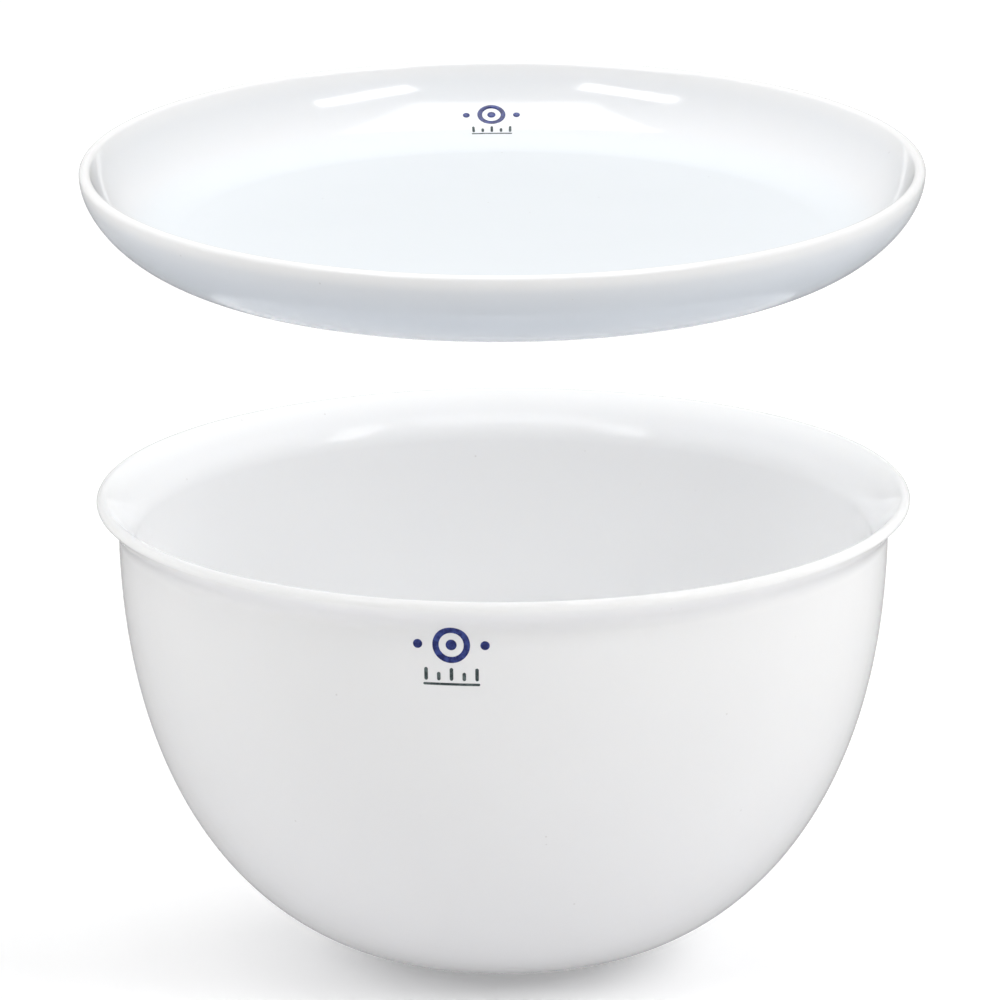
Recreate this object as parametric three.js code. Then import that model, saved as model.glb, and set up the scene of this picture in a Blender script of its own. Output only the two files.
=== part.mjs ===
// Porcelain crucible bowl with its saucer lid, both turned about +Z.
//
// Units are millimetres, +Z is up, and the origin is the centre of the circle that the bowl's
// foot ring stands on. The lid is modelled held above the bowl. Lowering it by LID_LIFT seats
// it in the flared mouth.
import * as THREE from "three";

// ---- Driving dimensions --------------------------------------------------------------------

const TURN_SEGMENTS = 64; // facets round the axis, a multiple of 4 so that the box is exact

const BOWL_HEIGHT = 81.3;
const BOWL_RIM_RADIUS = 70;
const BOWL_WALL_RADIUS = 66.2; // outside, where the straight wall meets the flared rim
const BOWL_WALL = 2.8;
const BOWL_DRAFT = 1.2; // how far the outer wall leans in over the upper part of the body
const BOWL_FLOOR = 4.6; // height of the inside bottom above the table
const BOWL_FLOOR_RADIUS = 9; // the flat middle of the inside bottom
const BOWL_LIP_RADIUS = 1.0;

// The round of the body is one curve, outside and inside. Each is pulled outwards along the
// bottom as far as SWEEP, and down the wall as far as DROP.
const BODY_SWEEP = 42;
const BODY_SWEEP_HEIGHT = 4.1;
const BODY_DROP = 27;
const INSIDE_SWEEP = 40;
const INSIDE_DROP = 28;

const FLARE_HEIGHT = 7.0;
const FLARE_INSIDE_HEIGHT = 8.0;
const FLARE_SLOPE = 225; // degrees, from the lip down and inwards
const WALL_SLOPE = 88.5; // degrees, the wall's lean where the flare leaves it
const FLARE_EASE = 2.2; // how gently the wall turns into the flare, outside
const FLARE_INSIDE_EASE = 2.6;
const FLARE_INSIDE_RUN = 4.4; // length of the straight part of the flare, inside

const BOWL_FOOT_RADIUS = 15.5;
const BOWL_FOOT_RING = 4;
const BOWL_FOOT_RECESS = 0.9;
const BOWL_FOOT_BEVEL = 1.2; // inside the ring, up to the recess
const BOWL_FOOT_SHOULDER = 0.6; // outside the ring, where the glaze stops
const BOWL_FOOT_SHOULDER_HEIGHT = 0.7;
const BOWL_BELLY_START = 1.9; // how far outside the ring the round of the body starts
const BOWL_BELLY_HEIGHT = 0.8;

const LID_RIM_RADIUS = 72.7;
const LID_HEIGHT = 17.6;
const LID_LIP_RADIUS = 1.0;
const LID_FLOOR = 5.4; // height of the well above the lid's own foot
const LID_WELL_RADIUS = 55;
const LID_WELL_SWEEP = 9; // how far past the well its floor pulls the wall's curve
const LID_WALL_SLOPE = 248; // degrees, from the lip down the inner wall
const LID_WALL_RUN = 6.5;
const LID_BELLY_RADIUS = 50; // where the flat underside starts to curve up into the wall
const LID_BELLY_SWEEP = 14;
const LID_BELLY_RUN = 6; // length of the upright part of the outer wall under the lip

const LID_FOOT_RADIUS = 48;
const LID_FOOT_RING = 3;
const LID_FOOT_HEIGHT = 1.0;
const LID_FOOT_BEVEL = 1.0;

const LID_LIFT = 48.5; // from seated in the mouth to held clear above the bowl
const LID_SEATED_Z = 73.5; // the lid's foot, when it is seated in the bowl's mouth

// ---- Outline helpers -----------------------------------------------------------------------

const point = (radius, height) => new THREE.Vector2(radius, height);

function bend(start, startHandle, endHandle, end, steps) {
  return new THREE.CubicBezierCurve(start, startHandle, endHandle, end).getPoints(steps);
}

function roundLip(centre, radius, fromDegrees, toDegrees, steps) {
  const outline = [];
  for (let step = 0; step <= steps; step += 1) {
    const degrees = THREE.MathUtils.lerp(fromDegrees, toDegrees, step / steps);
    const angle = THREE.MathUtils.degToRad(degrees);
    outline.push(point(centre.x + radius * Math.cos(angle), centre.y + radius * Math.sin(angle)));
  }
  return outline;
}

// A step of `along` millimetres from a point, in a direction given in degrees from outwards.
function reach(from, along, degrees) {
  const angle = THREE.MathUtils.degToRad(degrees);
  return point(from.x + along * Math.cos(angle), from.y + along * Math.sin(angle));
}

// Neighbouring stretches share their end points, so each point is kept once.
function joinStretches(...stretches) {
  const shared = 1e-4;
  const outline = [];
  for (const next of stretches.flat()) {
    const last = outline[outline.length - 1];
    if (!last || last.distanceTo(next) > shared) outline.push(next);
  }
  return outline;
}

// ---- Outlines, from the axis under the piece, round the rim, and back to the axis inside ---

function bowlOutline() {
  const ringInside = BOWL_FOOT_RADIUS - BOWL_FOOT_RING;
  const foot = [
    point(0, BOWL_FOOT_RECESS),
    point(ringInside - BOWL_FOOT_BEVEL, BOWL_FOOT_RECESS),
    point(ringInside, 0),
    point(BOWL_FOOT_RADIUS, 0),
    point(BOWL_FOOT_RADIUS + BOWL_FOOT_SHOULDER, BOWL_FOOT_SHOULDER_HEIGHT),
  ];

  // The body is a deep round bowl: flat across the bottom and nearly upright at the flare.
  const flareStart = point(BOWL_WALL_RADIUS, BOWL_HEIGHT - FLARE_HEIGHT);
  const body = bend(
    point(BOWL_FOOT_RADIUS + BOWL_BELLY_START, BOWL_BELLY_HEIGHT),
    point(BODY_SWEEP, BODY_SWEEP_HEIGHT),
    point(BOWL_WALL_RADIUS - BOWL_DRAFT, BODY_DROP),
    flareStart,
    14
  );

  // The rim turns out at 45 degrees and ends in a round lip.
  const lipCentre = point(BOWL_RIM_RADIUS - BOWL_LIP_RADIUS, BOWL_HEIGHT - BOWL_LIP_RADIUS);
  const lip = roundLip(lipCentre, BOWL_LIP_RADIUS, -45, 135, 8);
  const flareOutside = bend(
    flareStart,
    reach(flareStart, FLARE_EASE, WALL_SLOPE),
    reach(lip[0], FLARE_EASE, FLARE_SLOPE),
    lip[0],
    5
  );
  const lipInside = lip[lip.length - 1];
  const wallTop = point(BOWL_WALL_RADIUS - BOWL_WALL, BOWL_HEIGHT - FLARE_INSIDE_HEIGHT);
  const flareInside = bend(
    lipInside,
    reach(lipInside, FLARE_INSIDE_RUN, FLARE_SLOPE),
    reach(wallTop, FLARE_INSIDE_EASE, WALL_SLOPE),
    wallTop,
    5
  );

  const inside = bend(
    wallTop,
    point(wallTop.x - BOWL_DRAFT, INSIDE_DROP),
    point(INSIDE_SWEEP, BOWL_FLOOR),
    point(BOWL_FLOOR_RADIUS, BOWL_FLOOR),
    13
  );
  return joinStretches(foot, body, flareOutside, lip, flareInside, inside, [point(0, BOWL_FLOOR)]);
}

function lidOutline() {
  const ringInside = LID_FOOT_RADIUS - LID_FOOT_RING;
  const foot = [
    point(0, LID_FOOT_HEIGHT),
    point(ringInside - LID_FOOT_BEVEL, LID_FOOT_HEIGHT),
    point(ringInside, 0),
    point(LID_FOOT_RADIUS, 0),
    point(LID_FOOT_RADIUS + LID_FOOT_BEVEL, LID_FOOT_HEIGHT),
  ];

  // The underside sweeps from flat to upright in one curve, and this is what seats in the bowl.
  const lipCentre = point(LID_RIM_RADIUS - LID_LIP_RADIUS, LID_HEIGHT - LID_LIP_RADIUS);
  const lip = roundLip(lipCentre, LID_LIP_RADIUS, 0, 150, 5);
  const wallOutside = bend(
    point(LID_BELLY_RADIUS, LID_FOOT_HEIGHT),
    point(LID_BELLY_RADIUS + LID_BELLY_SWEEP, LID_FOOT_HEIGHT),
    reach(lip[0], LID_BELLY_RUN, -90),
    lip[0],
    9
  );
  const lipInside = lip[lip.length - 1];
  const wallInside = bend(
    lipInside,
    reach(lipInside, LID_WALL_RUN, LID_WALL_SLOPE),
    point(LID_WELL_RADIUS + LID_WELL_SWEEP, LID_FLOOR),
    point(LID_WELL_RADIUS, LID_FLOOR),
    8
  );
  return joinStretches(foot, wallOutside, lip, wallInside, [point(0, LID_FLOOR)]);
}

// ---- Pieces --------------------------------------------------------------------------------

const bowlPorcelain = new THREE.MeshStandardMaterial({ color: 0xe9e9ec, roughness: 0.12, metalness: 0 });
const lidPorcelain = new THREE.MeshStandardMaterial({ color: 0xe8ebee, roughness: 0.12, metalness: 0 });

// LatheGeometry turns about +Y, so each piece is stood up on +Z.
function turnedPiece(name, outline, material) {
  const geometry = new THREE.LatheGeometry(outline, TURN_SEGMENTS);
  geometry.rotateX(Math.PI / 2);
  const piece = new THREE.Mesh(geometry, material);
  piece.name = name;
  return piece;
}

const bowl = turnedPiece("bowl", bowlOutline(), bowlPorcelain);

const lid = turnedPiece("lid", lidOutline(), lidPorcelain);
lid.position.z = LID_SEATED_Z + LID_LIFT;

const crucible = new THREE.Group();
crucible.name = "crucible";
crucible.add(bowl, lid);

export default crucible;
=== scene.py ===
"""A porcelain crucible bowl and its saucer lid, on a pale floor in soft studio light.

Lengths in the outlines are millimetres, as (radius, height) from the middle of each piece's foot.
Everything is in the CAD model's frame: +Z up, and -Y towards the viewer.
"""
import math

import bpy
from mathutils import Matrix, Vector


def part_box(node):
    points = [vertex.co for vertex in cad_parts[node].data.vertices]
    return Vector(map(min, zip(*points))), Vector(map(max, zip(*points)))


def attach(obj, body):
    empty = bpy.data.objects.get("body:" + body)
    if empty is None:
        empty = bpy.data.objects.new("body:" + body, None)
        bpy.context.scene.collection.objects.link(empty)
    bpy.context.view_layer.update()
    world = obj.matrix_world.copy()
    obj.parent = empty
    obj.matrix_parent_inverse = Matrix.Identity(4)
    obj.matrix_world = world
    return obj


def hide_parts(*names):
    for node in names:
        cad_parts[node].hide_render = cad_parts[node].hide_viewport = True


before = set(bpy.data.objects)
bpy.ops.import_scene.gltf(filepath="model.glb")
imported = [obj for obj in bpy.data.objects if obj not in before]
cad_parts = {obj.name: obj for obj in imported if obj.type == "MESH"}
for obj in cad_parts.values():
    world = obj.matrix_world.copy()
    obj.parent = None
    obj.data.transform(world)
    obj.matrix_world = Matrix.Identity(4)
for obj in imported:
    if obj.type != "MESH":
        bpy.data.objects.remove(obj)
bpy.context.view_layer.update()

MM = 0.001

# ---- Sizes, from the CAD nodes' boxes ------------------------------------------------------

bowl_low, bowl_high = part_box("bowl")
lid_low, lid_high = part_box("lid")

BOWL_RIM_RADIUS = bowl_high.x / MM
BOWL_HEIGHT = (bowl_high.z - bowl_low.z) / MM
LID_RIM_RADIUS = lid_high.x / MM
LID_HEIGHT = (lid_high.z - lid_low.z) / MM

AROUND = 256  # steps round the axis, a multiple of 4 so that the width stays exact
SAME_PLACE = 1e-4  # two outline points nearer than this are one
ON_AXIS = 1e-6  # a radius smaller than this is a single point on the axis

# ---- Outlines ------------------------------------------------------------------------------


def at(radius, height):
    return Vector((radius, height))


def bend(start, start_handle, end_handle, end, steps):
    """A cubic curve from start to end."""
    points = []
    for step in range(steps + 1):
        t = step / steps
        s = 1 - t
        points.append(
            start * s**3
            + start_handle * (3 * s * s * t)
            + end_handle * (3 * s * t * t)
            + end * t**3
        )
    return points


def arc(centre, radius, from_degrees, to_degrees, steps):
    points = []
    for step in range(steps + 1):
        angle = math.radians(from_degrees + (to_degrees - from_degrees) * step / steps)
        points.append(centre + at(math.cos(angle), math.sin(angle)) * radius)
    return points


def reach(start, along, degrees):
    """A step of that length from a point, with the angle counted from straight outwards."""
    angle = math.radians(degrees)
    return start + at(math.cos(angle), math.sin(angle)) * along


def eased(corners, ease, closed=False, steps=4):
    """The same path with each corner rounded off over the distance ease."""
    points = []
    last = len(corners) - 1
    for index, corner in enumerate(corners):
        if not closed and index in (0, last):
            points.append(corner)
            continue
        before = corners[index - 1]
        after = corners[(index + 1) % len(corners)]
        start = corner + (before - corner).normalized() * ease
        end = corner + (after - corner).normalized() * ease
        for step in range(steps + 1):
            t = step / steps
            points.append(start * (1 - t) ** 2 + corner * (2 * t * (1 - t)) + end * t**2)
    return points


def joined(*stretches):
    """One outline from stretches that share their end points."""
    outline = []
    for stretch in stretches:
        for point in stretch:
            if not outline or (outline[-1] - point).length > SAME_PLACE:
                outline.append(point)
    return outline


BODY_STEPS = 64
FLARE_STEPS = 20
LID_WALL_STEPS = 48
BOWL_LIP_STEPS = 16
LID_LIP_STEPS = 15

# The bowl's round is one curve, outside and inside. Each is pulled outwards along the bottom as
# far as a sweep, and down the wall as far as a drop.
BOWL_WALL_RADIUS = 66.2  # outside, where the straight wall meets the flared rim
BOWL_WALL = 2.8
BOWL_DRAFT = 1.2  # how far the wall leans in over the upper part of the body
BOWL_FLOOR = 4.6  # height of the inside bottom
BOWL_FLOOR_RADIUS = 9
BOWL_FLOOR_MIDDLE = 4
BODY_SWEEP = 42
BODY_SWEEP_HEIGHT = 4.1
BODY_DROP = 27
INSIDE_SWEEP = 40
INSIDE_DROP = 28

FLARE_HEIGHT = 7.0
FLARE_INSIDE_HEIGHT = 8.0
FLARE_SLOPE = 225  # degrees, from the lip down and inwards
WALL_SLOPE = 88.5  # degrees, the wall's lean where the flare leaves it
FLARE_EASE = 2.2  # how gently the wall turns into the flare, outside
FLARE_INSIDE_EASE = 2.6
FLARE_INSIDE_RUN = 4.4  # length of the straight part of the flare, inside

LIP_RADIUS = 1.0  # both pieces have it
BOWL_LIP_START = -45  # degrees, where the round lip meets the flare outside, and inside
BOWL_LIP_END = 135
LID_LIP_START = 0
LID_LIP_END = 150

LID_FLOOR = 5.4  # height of the well above the lid's own foot
LID_WELL_RADIUS = 55
LID_WELL_SWEEP = 9  # how far past the well its floor pulls the wall's curve
LID_WELL_RINGS = (40, 25, 10, 0)
LID_WALL_SLOPE = 248  # degrees, from the lip down the inner wall
LID_WALL_RUN = 6.5
LID_BELLY_RADIUS = 50  # where the flat underside starts to curve up into the wall
LID_BELLY_SWEEP = 14
LID_BELLY_RUN = 6  # length of the upright part of the outer wall under the lip

# The foot rings. The glaze stops at the height BARE_EDGE, and below it a ring is bare.
BARE_EDGE = 0.4
FOOT_EASE = 0.15
RING_TOP = 0.7
RING_FLARE_OUTSIDE = 0.25  # how far the bare ring spreads up to the glaze's edge
RING_FLARE_INSIDE = 0.35

BOWL_RING_INSIDE = 11.5
BOWL_RING_OUTSIDE = 15.5
BOWL_RECESS = 0.9
BOWL_RECESS_BEVEL = 1.2
BOWL_EDGE_INSIDE = 0.5  # how far the glaze's edge stands off the ring's face
BOWL_EDGE_OUTSIDE = 0.35
BOWL_SHOULDER = 0.6
BOWL_SHOULDER_HEIGHT = 0.7
BOWL_BELLY_START = 1.9  # how far outside the ring the round of the body starts
BOWL_BELLY_HEIGHT = 0.8

LID_RING_INSIDE = 45.0
LID_RING_OUTSIDE = 48.0
LID_FOOT = 1.0
LID_FOOT_BEVEL = 1.0
LID_EDGE = 0.4

bowl_lip_centre = at(BOWL_RIM_RADIUS - LIP_RADIUS, BOWL_HEIGHT - LIP_RADIUS)
lid_lip_centre = at(LID_RIM_RADIUS - LIP_RADIUS, LID_HEIGHT - LIP_RADIUS)
belly_start = at(BOWL_RING_OUTSIDE + BOWL_BELLY_START, BOWL_BELLY_HEIGHT)


def bowl_outer_wall():
    flare_start = at(BOWL_WALL_RADIUS, BOWL_HEIGHT - FLARE_HEIGHT)
    lip_start = reach(bowl_lip_centre, LIP_RADIUS, BOWL_LIP_START)
    body = bend(
        belly_start,
        at(BODY_SWEEP, BODY_SWEEP_HEIGHT),
        at(BOWL_WALL_RADIUS - BOWL_DRAFT, BODY_DROP),
        flare_start,
        BODY_STEPS,
    )
    flare = bend(
        flare_start,
        reach(flare_start, FLARE_EASE, WALL_SLOPE),
        reach(lip_start, FLARE_EASE, FLARE_SLOPE),
        lip_start,
        FLARE_STEPS,
    )
    return joined(body, flare)


def bowl_inner_wall():
    lip_end = reach(bowl_lip_centre, LIP_RADIUS, BOWL_LIP_END)
    wall_top = at(BOWL_WALL_RADIUS - BOWL_WALL, BOWL_HEIGHT - FLARE_INSIDE_HEIGHT)
    flare = bend(
        lip_end,
        reach(lip_end, FLARE_INSIDE_RUN, FLARE_SLOPE),
        reach(wall_top, FLARE_INSIDE_EASE, WALL_SLOPE),
        wall_top,
        FLARE_STEPS,
    )
    inside = bend(
        wall_top,
        at(wall_top.x - BOWL_DRAFT, INSIDE_DROP),
        at(INSIDE_SWEEP, BOWL_FLOOR),
        at(BOWL_FLOOR_RADIUS, BOWL_FLOOR),
        BODY_STEPS,
    )
    return joined(flare, inside)


def bowl_outline():
    foot = eased(
        [
            at(0, BOWL_RECESS),
            at(BOWL_RING_INSIDE - BOWL_RECESS_BEVEL, BOWL_RECESS),
            at(BOWL_RING_INSIDE - BOWL_EDGE_INSIDE, BARE_EDGE),
            at(BOWL_RING_OUTSIDE + BOWL_EDGE_OUTSIDE, BARE_EDGE),
            at(BOWL_RING_OUTSIDE + BOWL_SHOULDER, BOWL_SHOULDER_HEIGHT),
            belly_start,
        ],
        FOOT_EASE,
    )
    lip = arc(bowl_lip_centre, LIP_RADIUS, BOWL_LIP_START, BOWL_LIP_END, BOWL_LIP_STEPS)
    floor = [at(BOWL_FLOOR_MIDDLE, BOWL_FLOOR), at(0, BOWL_FLOOR)]
    return joined(foot, bowl_outer_wall(), lip, bowl_inner_wall(), floor)


def lid_inner_wall():
    lip_end = reach(lid_lip_centre, LIP_RADIUS, LID_LIP_END)
    return bend(
        lip_end,
        reach(lip_end, LID_WALL_RUN, LID_WALL_SLOPE),
        at(LID_WELL_RADIUS + LID_WELL_SWEEP, LID_FLOOR),
        at(LID_WELL_RADIUS, LID_FLOOR),
        LID_WALL_STEPS,
    )


def lid_outline():
    foot = eased(
        [
            at(0, LID_FOOT),
            at(LID_RING_INSIDE - LID_FOOT_BEVEL, LID_FOOT),
            at(LID_RING_INSIDE - LID_EDGE, BARE_EDGE),
            at(LID_RING_OUTSIDE + LID_EDGE, BARE_EDGE),
            at(LID_RING_OUTSIDE + LID_FOOT_BEVEL, LID_FOOT),
            at(LID_BELLY_RADIUS, LID_FOOT),
        ],
        FOOT_EASE,
    )
    lip = arc(lid_lip_centre, LIP_RADIUS, LID_LIP_START, LID_LIP_END, LID_LIP_STEPS)
    wall = bend(
        at(LID_BELLY_RADIUS, LID_FOOT),
        at(LID_BELLY_RADIUS + LID_BELLY_SWEEP, LID_FOOT),
        reach(lip[0], LID_BELLY_RUN, -90),
        lip[0],
        LID_WALL_STEPS,
    )
    well = [at(radius, LID_FLOOR) for radius in LID_WELL_RINGS]
    return joined(foot, wall, lip, lid_inner_wall(), well)


def ring_outline(inside, outside):
    """The bare standing face of a foot ring. Its top is hidden in the glazed body."""
    return eased(
        [
            at(inside, 0),
            at(outside, 0),
            at(outside + RING_FLARE_OUTSIDE, BARE_EDGE),
            at(outside, RING_TOP),
            at(inside, RING_TOP),
            at(inside - RING_FLARE_INSIDE, BARE_EDGE),
        ],
        FOOT_EASE,
        closed=True,
    )


# ---- Meshes --------------------------------------------------------------------------------


def add_piece(name, points, faces, material, body, slot):
    """A smooth mesh from points in millimetres, which rides on a body."""
    mesh = bpy.data.meshes.new(name)
    mesh.from_pydata([Vector(p) * MM for p in points], [], faces)
    mesh.validate()
    mesh.shade_smooth()
    mesh.materials.append(material)
    piece = bpy.data.objects.new(name, mesh)
    bpy.context.scene.collection.objects.link(piece)
    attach(piece, body)
    return piece


def turned(outline, base, closed=False):
    """Points and faces of an outline turned about the axis, standing at the height base."""
    points = []
    rings = []
    for radius, height in outline:
        if radius < ON_AXIS:
            rings.append([len(points)])
            points.append((0, 0, base + height))
            continue
        rings.append(range(len(points), len(points) + AROUND))
        for step in range(AROUND):
            angle = 2 * math.pi * step / AROUND
            points.append((radius * math.cos(angle), radius * math.sin(angle), base + height))
    faces = []
    pairs = list(zip(rings, rings[1:]))
    if closed:
        pairs.append((rings[-1], rings[0]))
    for low, high in pairs:
        for step in range(AROUND):
            after = (step + 1) % AROUND
            if len(low) == 1:
                faces.append((low[0], high[after], high[step]))
            elif len(high) == 1:
                faces.append((low[step], low[after], high[0]))
            else:
                faces.append((low[step], low[after], high[after], high[step]))
    return points, faces


# ---- Fired marks ---------------------------------------------------------------------------

FILM = 0.035  # how far the fired colour stands proud of the glaze
FILM_ROOT = -0.06  # and how far it reaches into it
FILM_SIDE = FILM * 0.4  # height of the upright part of its edge
FILM_EDGE = 0.06  # width of the sloped part of its edge
FULL_EDGE = 0.2  # a film with a smaller half width than this has a narrower edge

RING_STEPS = 64
STROKE_STEPS = 12
CAP_STEPS = 6
CAP_TIP = 8  # degrees: a round end starts just off its very tip, so that it has some width
CAP_FULL = 90
DOT_REACH = 0.005  # half the length of the stroke that makes a dot

BOWL_MARK_HEIGHT = 70.6
BOWL_MARK_TURN = -90 - 7.8  # degrees: at the front, a little to the viewer's left
BOWL_MARK_SCALE = (1, 1)
LID_MARK_HEIGHT = 8.5
LID_MARK_TURN = 90 + 1.6  # at the back of the hollow side
LID_MARK_SCALE = (0.74, 0.6)


class Wall:
    """A stretch of an outline that a mark lies on. Its places are (across, up, proud), in mm."""

    def __init__(self, outline, base, mark_height, facing, turn):
        self.points = outline if outline[0].y < outline[-1].y else outline[::-1]
        self.base = base
        self.facing = facing  # 1 where the outside of the turned wall carries it, -1 inside
        self.turn = math.radians(turn)
        self.lengths = [0.0]
        for low, high in zip(self.points, self.points[1:]):
            self.lengths.append(self.lengths[-1] + (high - low).length)
        above = next(i for i, p in enumerate(self.points) if p.y >= mark_height)
        low, high = self.points[above - 1], self.points[above]
        share = (mark_height - low.y) / (high.y - low.y)
        self.middle = self.lengths[above - 1] + share * (high - low).length
        self.radius = low.x + share * (high.x - low.x)

    def place(self, across, up, proud):
        along = self.middle + up
        index = 1
        while index < len(self.lengths) - 1 and self.lengths[index] < along:
            index += 1
        low, high = self.points[index - 1], self.points[index]
        span = self.lengths[index] - self.lengths[index - 1]
        share = (along - self.lengths[index - 1]) / span
        direction = (high - low).normalized()
        normal = at(direction.y, -direction.x) * self.facing
        radius, height = low.lerp(high, share) + normal * proud
        angle = self.turn + self.facing * across / self.radius
        return (radius * math.cos(angle), radius * math.sin(angle), self.base + height)


def film(stations, closed):
    """Points and faces of a thin film. A station is its middle, its side, and its half width."""
    section = [
        (-1.0, 0.0, FILM_ROOT),
        (1.0, 0.0, FILM_ROOT),
        (1.0, 0.0, FILM_SIDE),
        (1.0, -FILM_EDGE, FILM),
        (-1.0, FILM_EDGE, FILM),
        (-1.0, 0.0, FILM_SIDE),
    ]
    points = []
    faces = []
    count = len(section)
    for middle, side, half in stations:
        for part, inset, proud in section:
            place = middle + side * (part * half + inset * min(1.0, half / FULL_EDGE))
            points.append((place.x, place.y, proud))
    last = len(stations)
    for station in range(last if closed else last - 1):
        after = (station + 1) % last
        for part in range(count):
            beside = (part + 1) % count
            faces.append(
                (
                    station * count + part,
                    after * count + part,
                    after * count + beside,
                    station * count + beside,
                )
            )
    if not closed:
        faces.append(tuple(range(count)))
        faces.append(tuple((last - 1) * count + part for part in reversed(range(count))))
    return points, faces


def ring_film(centre, radius, width):
    stations = []
    for step in range(RING_STEPS):
        angle = 2 * math.pi * step / RING_STEPS
        side = at(math.cos(angle), math.sin(angle))
        stations.append((centre + side * radius, side, width / 2))
    return film(stations, closed=True)


def stroke_film(start, end, width):
    """A straight stroke with round ends."""
    along = (end - start).normalized()
    side = at(along.y, -along.x)
    half = width / 2
    stations = []
    for step in range(CAP_STEPS + 1):
        angle = math.radians(CAP_TIP + (CAP_FULL - CAP_TIP) * step / CAP_STEPS)
        stations.append((start - along * (half * math.cos(angle)), side, half * math.sin(angle)))
    for step in range(1, STROKE_STEPS):
        stations.append((start.lerp(end, step / STROKE_STEPS), side, half))
    for step in range(CAP_STEPS + 1):
        angle = math.radians(CAP_FULL - (CAP_FULL - CAP_TIP) * step / CAP_STEPS)
        stations.append((end + along * (half * math.cos(angle)), side, half * math.sin(angle)))
    return film(stations, closed=False)


def dot_film(centre, radius):
    return stroke_film(centre - at(DOT_REACH, 0), centre + at(DOT_REACH, 0), radius * 2)


def merged(films):
    points = []
    faces = []
    for film_points, film_faces in films:
        first = len(points)
        points += film_points
        faces += [tuple(first + corner for corner in face) for face in film_faces]
    return points, faces


def blue_mark():
    """A ring with a dot in it, and a smaller dot on each side."""
    middle = at(0, 2.2)
    ring_radius = 2.7
    ring_width = 1.1
    dot_radius = 0.95
    side_dot_radius = 0.8
    side_dot_place = 5.8
    films = [ring_film(middle, ring_radius, ring_width), dot_film(middle, dot_radius)]
    for side in (-1, 1):
        films.append(dot_film(middle + at(side * side_dot_place, 0), side_dot_radius))
    return merged(films)


def grey_mark():
    """A short scale: five ticks, long and short in turn, over a line."""
    line_reach = 4.7
    line_up = -4.9
    line_width = 0.45
    tick_gap = 2.2
    tick_foot = -3.95
    tick_width = 0.62
    films = [stroke_film(at(-line_reach, line_up), at(line_reach, line_up), line_width)]
    for index, height in enumerate((1.7, 0.9, 1.7, 0.9, 1.7)):
        across = (index - 2) * tick_gap
        films.append(
            stroke_film(at(across, tick_foot), at(across, tick_foot + height), tick_width)
        )
    return merged(films)


def add_mark(name, shape, wall, scale, material, body, slot):
    points, faces = shape
    placed = [wall.place(x * scale[0], y * scale[1], proud) for x, y, proud in points]
    if wall.facing < 0:
        faces = [face[::-1] for face in faces]
    return add_piece(name, placed, faces, material, body, slot)


# ---- Materials -----------------------------------------------------------------------------


class Nodes:
    """A short way to build a node tree."""

    def __init__(self, tree):
        self.tree = tree
        tree.nodes.clear()

    def add(self, kind, inputs=None, **settings):
        node = self.tree.nodes.new("ShaderNode" + kind)
        for name, value in settings.items():
            setattr(node, name, value)
        for name, value in (inputs or {}).items():
            if isinstance(value, bpy.types.NodeSocket):
                self.tree.links.new(value, node.inputs[name])
            else:
                node.inputs[name].default_value = value
        return node

    def math(self, operation, *values):
        return self.add("Math", dict(enumerate(values)), operation=operation).outputs[0]

    def spread(self, value, low, high, to_low=0.0, to_high=1.0):
        """A smooth step of a value from one range to another."""
        inputs = {
            "Value": value,
            "From Min": low,
            "From Max": high,
            "To Min": to_low,
            "To Max": to_high,
        }
        return self.add("MapRange", inputs, interpolation_type="SMOOTHSTEP").outputs[0]

    def noise(self, place, scale, detail=2.0, roughness=0.5):
        inputs = {"Vector": place, "Scale": scale, "Detail": detail, "Roughness": roughness}
        return self.add("TexNoise", inputs).outputs[0]

    def blend(self, share, first, second):
        """One number turning into another."""
        return self.add("Mix", {0: share, 2: first, 3: second}, data_type="FLOAT").outputs[0]

    def mix(self, share, first, second):
        node = self.add("Mix", {0: share}, data_type="RGBA")
        for socket, value in ((node.inputs[6], first), (node.inputs[7], second)):
            if isinstance(value, bpy.types.NodeSocket):
                self.tree.links.new(value, socket)
            else:
                socket.default_value = (*value, 1.0)
        return node.outputs[2]

    def bump(self, height, distance, strength, normal=None):
        inputs = {"Height": height, "Distance": distance, "Strength": strength}
        if normal is not None:
            inputs["Normal"] = normal
        return self.add("Bump", inputs).outputs[0]


def new_material(name):
    material = bpy.data.materials.new(name)
    material.use_nodes = True
    return material, Nodes(material.node_tree)


def finish_material(nodes, surface):
    nodes.add("OutputMaterial", {"Surface": surface.outputs[0]})


LIP_FADE_START = 3.5 * MM  # how far below the rim the lip's lighter colour starts: thinner glaze, partly a painted highlight
LIP_FADE_END = 0.2 * MM
SPECK = (0.30, 0.27, 0.24)
SPECK_STRENGTH = 0.22
CLOUD_STRENGTH = 0.22


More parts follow.
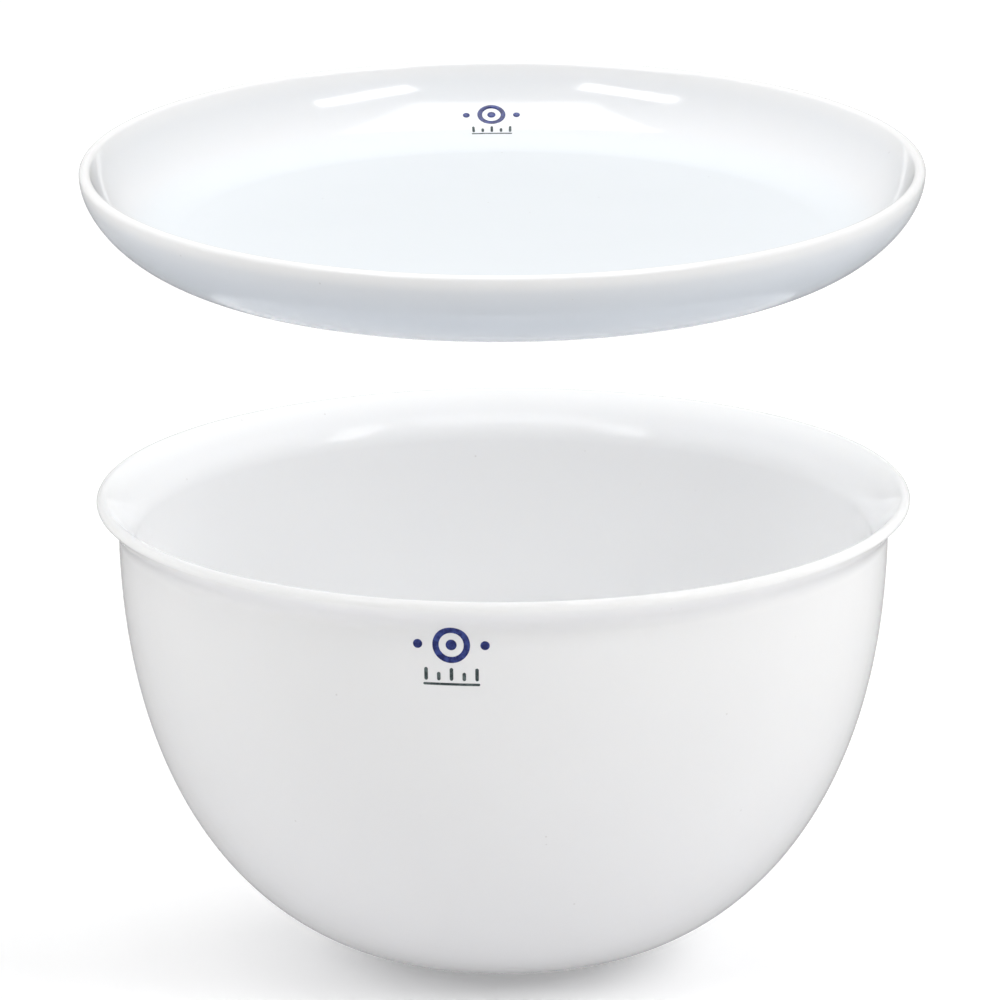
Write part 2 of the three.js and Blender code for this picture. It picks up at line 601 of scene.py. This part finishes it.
def glaze(name, inside, outside, pool, lip, lip_height, floor_height, pool_rise):
    """Clear gloss glaze on white porcelain, from its colours inside, outside, pooled and on the lip.

    The glaze is deepest on the inside bottom, it is never quite even, and a few fine specks of the
    body show through it. The lighter colour over the lip is partly the glaze thinning there and
    partly a painted highlight. The outside colour is painted shade: a darker, cooler colour that
    comes in where the surface turns from upright to facing down.
    """
    material, nodes = new_material(name)
    place = nodes.add("TexCoord").outputs["Object"]
    height = nodes.add("SeparateXYZ", {"Vector": place}).outputs["Z"]
    normal = nodes.add("NewGeometry").outputs["Normal"]
    facing_up = nodes.add("SeparateXYZ", {"Vector": normal}).outputs["Z"]

    cloud = nodes.noise(place, 22.0, 3.0)
    pooled = nodes.spread(height, floor_height + pool_rise, floor_height)
    cloudy = nodes.math("MULTIPLY", nodes.spread(cloud, 0.3, 0.7), CLOUD_STRENGTH)
    colour = nodes.mix(nodes.math("MAXIMUM", cloudy, pooled), inside, pool)
    # painted shade: where the surface faces down, it takes the darker, cooler outside colour
    painted_shade_below = nodes.spread(facing_up, 0.15, -0.80)
    colour = nodes.mix(painted_shade_below, colour, outside)
    # the lip's lighter colour: partly thinner glaze, partly a painted highlight
    lip_glaze_and_highlight = nodes.spread(height, lip_height - LIP_FADE_START, lip_height - LIP_FADE_END)
    colour = nodes.mix(lip_glaze_and_highlight, colour, lip)

    cells = nodes.add("TexVoronoi", {"Vector": place, "Scale": 420.0}, feature="F1")
    chosen = nodes.add("SeparateColor", {"Color": cells.outputs["Color"]}).outputs[0]
    speck = nodes.math(
        "MULTIPLY",
        nodes.spread(cells.outputs["Distance"], 0.11, 0.04),
        nodes.math("GREATER_THAN", chosen, 0.975),
    )
    colour = nodes.mix(nodes.math("MULTIPLY", speck, SPECK_STRENGTH), colour, SPECK)

    haze = nodes.noise(place, 55.0, 4.0, 0.6)
    roughness = nodes.spread(haze, 0.25, 0.75, 0.07, 0.13)

    wave = nodes.bump(nodes.noise(place, 38.0, 1.0), 0.00016, 0.5)
    peel = nodes.bump(nodes.noise(place, 620.0, 2.0), 0.000012, 0.35, wave)

    inputs = {
        "Base Color": colour,
        "Roughness": roughness,
        "Normal": peel,
        "IOR": 1.52,
        "Subsurface Weight": 0.08,
        "Subsurface Radius": (0.0022, 0.0020, 0.0018),
        "Subsurface Scale": 1.0,
    }
    finish_material(nodes, nodes.add("BsdfPrincipled", inputs))
    return material


def bisque(name):
    """The bare standing face: fine sintered grain, greyed where it rubs."""
    material, nodes = new_material(name)
    place = nodes.add("TexCoord").outputs["Object"]
    grain = nodes.noise(place, 1500.0, 3.0, 0.65)
    rub = nodes.noise(place, 160.0, 4.0, 0.6)
    worn = nodes.spread(rub, 0.48, 0.72, 0.0, 0.55)
    colour = nodes.mix(nodes.spread(grain, 0.3, 0.7), (0.70, 0.67, 0.62), (0.80, 0.78, 0.74))
    colour = nodes.mix(worn, colour, (0.47, 0.45, 0.43))
    inputs = {
        "Base Color": colour,
        "Roughness": nodes.spread(grain, 0.2, 0.8, 0.72, 0.92),
        "Normal": nodes.bump(grain, 0.00006, 0.6),
    }
    finish_material(nodes, nodes.add("BsdfPrincipled", inputs))
    return material


def fired(name, thin, full, scale):
    """Ceramic colour sunk into the glaze, a little uneven in strength."""
    material, nodes = new_material(name)
    place = nodes.add("TexCoord").outputs["Object"]
    patch = nodes.noise(place, scale, 3.0, 0.6)
    colour = nodes.mix(nodes.spread(patch, 0.35, 0.6), thin, full)
    inputs = {
        "Base Color": colour,
        "Roughness": nodes.spread(patch, 0.3, 0.7, 0.14, 0.24),
        "Normal": nodes.bump(patch, 0.00002, 0.4),
    }
    finish_material(nodes, nodes.add("BsdfPrincipled", inputs))
    return material


bowl_glaze = glaze(
    "bowl_glaze",
    inside=(0.825, 0.825, 0.826),
    # the outside colour is painted shade, a little darker and cooler, on surfaces facing down
    outside=(0.788, 0.788, 0.804),
    pool=(0.800, 0.802, 0.815),
    # the lip colour is lighter: partly thin glaze, partly a painted highlight
    lip=(0.89, 0.89, 0.885),
    lip_height=bowl_high.z,
    floor_height=bowl_low.z + BOWL_FLOOR * MM,
    pool_rise=12 * MM,
)
lid_glaze = glaze(
    "lid_glaze",
    inside=(0.825, 0.832, 0.845),
    # the outside colour is painted shade, much darker and cooler, on surfaces facing down
    outside=(0.580, 0.620, 0.675),
    pool=(0.785, 0.822, 0.853),
    # the lip colour is lighter: partly thin glaze, partly a painted highlight
    lip=(0.88, 0.88, 0.88),
    lip_height=lid_high.z,
    floor_height=lid_low.z + LID_FLOOR * MM,
    pool_rise=4 * MM,
)
bare_foot = bisque("bare_foot")
fired_blue = fired("fired_blue", (0.035, 0.055, 0.24), (0.010, 0.016, 0.115), 900.0)
fired_grey = fired("fired_grey", (0.10, 0.13, 0.13), (0.035, 0.050, 0.052), 1100.0)

# ---- The pieces ----------------------------------------------------------------------------

bowl_body = add_piece(
    "bowl_body", *turned(bowl_outline(), bowl_low.z / MM), bowl_glaze, "bowl", "bowl_porcelain"
)
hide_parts("bowl")
bowl_ring = turned(ring_outline(BOWL_RING_INSIDE, BOWL_RING_OUTSIDE), bowl_low.z / MM, closed=True)
add_piece("bowl_foot_ring", *bowl_ring, bare_foot, "bowl", "unglazed_foot")

lid_body = add_piece(
    "lid_body", *turned(lid_outline(), lid_low.z / MM), lid_glaze, "lid", "lid_porcelain"
)
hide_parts("lid")
lid_ring = turned(ring_outline(LID_RING_INSIDE, LID_RING_OUTSIDE), lid_low.z / MM, closed=True)
lid_foot_ring = add_piece("lid_foot_ring", *lid_ring, bare_foot, "lid", "unglazed_foot")

bowl_front = Wall(bowl_outer_wall(), bowl_low.z / MM, BOWL_MARK_HEIGHT, 1, BOWL_MARK_TURN)
add_mark(
    "bowl_mark_blue", blue_mark(), bowl_front, BOWL_MARK_SCALE, fired_blue, "bowl", "fired_blue"
)
add_mark(
    "bowl_mark_grey", grey_mark(), bowl_front, BOWL_MARK_SCALE, fired_grey, "bowl", "fired_grey"
)

lid_back = Wall(lid_inner_wall(), lid_low.z / MM, LID_MARK_HEIGHT, -1, LID_MARK_TURN)
lid_blue = add_mark(
    "lid_mark_blue", blue_mark(), lid_back, LID_MARK_SCALE, fired_blue, "lid", "fired_blue"
)
lid_grey = add_mark(
    "lid_mark_grey", grey_mark(), lid_back, LID_MARK_SCALE, fired_grey, "lid", "fired_grey"
)
lid_pieces = [lid_body, lid_foot_ring, lid_blue, lid_grey]

# ---- Floor, light and camera ---------------------------------------------------------------

FLOOR_RADIUS = 14000
FLOOR_RINGS = (0, 0.01, 0.1, 1)  # shares of the radius
LAMP_DISTANCE = 1.2
LAMP_TARGET = Vector((0, 0, 0.08))


def add_floor():
    """A wide pale disc, made of rings so that it shades evenly. It glows faintly, more far out."""
    outline = [at(FLOOR_RADIUS * share, 0) for share in FLOOR_RINGS]
    points, faces = turned(outline, bowl_low.z / MM)
    mesh = bpy.data.meshes.new("floor")
    mesh.from_pydata([Vector(p) * MM for p in points], [], [face[::-1] for face in faces])
    material, nodes = new_material("floor")
    place = nodes.add("TexCoord").outputs["Object"]
    tone = nodes.mix(nodes.noise(place, 6.0), (0.90, 0.90, 0.90), (0.92, 0.92, 0.92))
    distance = nodes.add("VectorMath", {0: place}, operation="LENGTH").outputs["Value"]
    glow = nodes.spread(distance, 0.15, 0.7, 0.17, 0.28)
    far_glow = nodes.spread(distance, 0.55, 2.0, 0.0, 0.55)  # past the reach of the lamps
    inputs = {
        "Base Color": tone,
        "Roughness": 0.9,
        "Emission Color": (1, 1, 1, 1),
        "Emission Strength": nodes.math("ADD", glow, far_glow),
    }
    finish_material(nodes, nodes.add("BsdfPrincipled", inputs))
    mesh.materials.append(material)
    floor = bpy.data.objects.new("floor", mesh)
    bpy.context.scene.collection.objects.link(floor)
    floor.visible_glossy = False  # the glaze shows the sky's own ground instead


def direction(azimuth, elevation):
    """Out from the object. Azimuth 0 is the viewer's side, and 90 is the viewer's right."""
    turn, rise = math.radians(azimuth), math.radians(elevation)
    return Vector(
        (math.sin(turn) * math.cos(rise), -math.cos(turn) * math.cos(rise), math.sin(rise))
    )


def aimed(obj, place, target):
    obj.location = place
    obj.rotation_euler = (target - place).to_track_quat("-Z", "Y").to_euler()


def softbox(name, place, size, mirrored, power, lights, passes):
    """A rectangular lamp, aimed at the object, which the camera doesn't see.

    It lights the collection lights, its light goes straight past what is in passes, and the glaze
    mirrors it only where mirrored is true.
    """
    light = bpy.data.lights.new(name, "AREA")
    light.shape = "RECTANGLE"
    light.size, light.size_y = size
    light.energy = power
    lamp = bpy.data.objects.new(name, light)
    bpy.context.scene.collection.objects.link(lamp)
    aimed(lamp, direction(*place) * LAMP_DISTANCE, LAMP_TARGET)
    lamp.visible_camera = False
    lamp.visible_glossy = mirrored
    lamp.light_linking.receiver_collection = lights
    lamp.light_linking.blocker_collection = passes


def linked(name, pieces, state):
    """A collection that a lamp's light reaches or passes by. It is never shown itself."""
    group = bpy.data.collections.new(name)
    for piece in pieces:
        group.objects.link(piece)
    for entry in group.collection_objects:
        entry.light_linking.link_state = state
    return group


def add_sky(level, from_right, from_sides, from_behind, ground):
    """A pale room: its brightness changes evenly with direction, and its ground is even.

    A narrow white band just under the horizon is what a low view shows past the floor's edge.
    """
    world = bpy.data.worlds.new("studio")
    world.use_nodes = True
    bpy.context.scene.world = world
    nodes = Nodes(world.node_tree)
    way = nodes.add("SeparateXYZ", {"Vector": nodes.add("TexCoord").outputs["Generated"]})
    rise = way.outputs["Z"]
    amount = nodes.math("MULTIPLY_ADD", way.outputs["X"], from_right, level)
    aside = nodes.math("ABSOLUTE", way.outputs["X"])
    amount = nodes.math("MULTIPLY_ADD", aside, from_sides, amount)
    amount = nodes.math("MULTIPLY_ADD", way.outputs["Y"], from_behind, amount)
    amount = nodes.blend(nodes.spread(rise, 0.03, -0.03), amount, ground)
    from_band = nodes.math("ABSOLUTE", nodes.math("ADD", rise, 0.04))
    amount = nodes.blend(nodes.spread(from_band, 0.03, 0.015), amount, 1.0)
    background = nodes.add("Background", {"Color": (1, 1, 1, 1), "Strength": amount})
    nodes.add("OutputWorld", {"Surface": background.outputs[0]})


add_floor()
add_sky(level=0.19, from_right=0.10, from_sides=0.20, from_behind=0.26, ground=0.38)

# Each softbox: azimuth and elevation in degrees, width and height in metres, whether the glaze
# mirrors it, and its power in watts on the bowl and floor, and on the lid.
RIG = {
    "bowl_key_left": ((-42, 38), (0.26, 0.60), True, 1.1, 0.0),
    "bowl_key_right": ((54, 38), (0.26, 0.60), True, 1.2, 0.0),
    "bowl_fill_left": ((-42, 38), (0.30, 0.60), False, 1.1, 0.0),
    "bowl_fill_right": ((54, 38), (0.30, 0.60), False, 2.0, 0.0),
    "lid_key_left": ((-46, 51), (0.50, 0.13), True, 0.0, 2.0),
    "lid_key_right": ((50, 51), (0.50, 0.13), True, 0.0, 2.1),
    "wide_left": ((-75, 30), (0.9, 0.8), False, 2.5, 0.9),
    "wide_right": ((75, 30), (0.9, 0.8), False, 3.0, 2.4),
    "rear_left": ((-130, 30), (0.9, 0.8), False, 2.6, 1.8),
    "rear_right": ((130, 30), (0.9, 0.8), False, 4.3, 0.0),
    "bowl_high": ((-78, 74), (0.6, 0.6), False, 2.4, 0.0),
    "lid_high": ((-90, 60), (0.6, 0.6), False, 0.0, 2.3),
    "front_high": ((0, 58), (0.9, 0.4), True, 1.5, 0.0),
    "top": ((0, 86), (0.8, 0.8), True, 0.0, 6.8),
}

# The lid is held in the air as if on its own. It has lamps of its own, the bowl's lamps pass it,
# and the bowl's glaze doesn't show it.
past_lid = linked("past_lid", lid_pieces, "EXCLUDE")
not_lid = linked("not_lid", lid_pieces, "EXCLUDE")
only_lid = linked("only_lid", lid_pieces, "INCLUDE")
for name, (place, size, mirrored, on_bowl, on_lid) in RIG.items():
    for power, lights, whose in ((on_bowl, not_lid, "bowl"), (on_lid, only_lid, "lid")):
        if power:
            softbox(f"{name}_{whose}", place, size, mirrored, power, lights, past_lid)
for piece in lid_pieces:
    piece.visible_glossy = False


def add_camera(target, elevation, roll, distance, lens):
    data = bpy.data.cameras.new("camera")
    data.lens = lens
    data.sensor_width = 36
    data.clip_start = 0.1
    data.clip_end = 60
    camera = bpy.data.objects.new("camera", data)
    bpy.context.scene.collection.objects.link(camera)
    aimed(camera, target + direction(0, elevation) * distance, target)
    bpy.context.view_layer.update()
    camera.matrix_world = camera.matrix_world @ Matrix.Rotation(math.radians(roll), 4, "Z")
    bpy.context.scene.camera = camera


add_camera(
    target=Vector((-0.57 * MM, 0, 80.2 * MM)),
    elevation=15.5,
    roll=-0.2,
    distance=5.737,
    lens=1200,
)

view = bpy.context.scene.view_settings
view.view_transform = "Standard"
view.look = "None"

bpy.context.view_layer.update()
